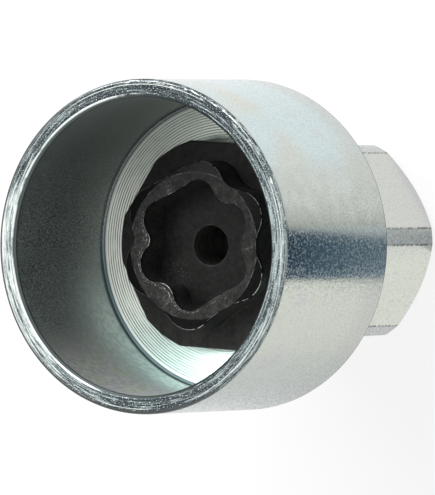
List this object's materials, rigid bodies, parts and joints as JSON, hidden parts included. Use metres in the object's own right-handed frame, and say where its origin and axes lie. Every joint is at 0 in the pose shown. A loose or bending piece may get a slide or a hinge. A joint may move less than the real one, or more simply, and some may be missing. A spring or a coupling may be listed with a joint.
{
  "type": "locking wheel nut key",
  "caption": "Plated steel cup with a hexagon drive behind it and a black coded insert inside, which turns a locking wheel nut with a wheel wrench.",
  "frame": {"origin": "centre of the hexagon drive's end face, which the key stands on", "axes": "+Z along the turning axis, from the drive's end to the cup's mouth; +X through one corner of the drive hexagon"},
  "size_m": [0.036, 0.036, 0.044],
  "materials": {
    "plated_steel": "zinc plate, satin, with fine turned lines on the cup's floor",
    "black_steel": "black oxide, matt, with worn edges"
  },
  "bodies": {
    "root": {"cup_body": "plated_steel", "key_insert": "black_steel"}
  },
  "joints": []
}
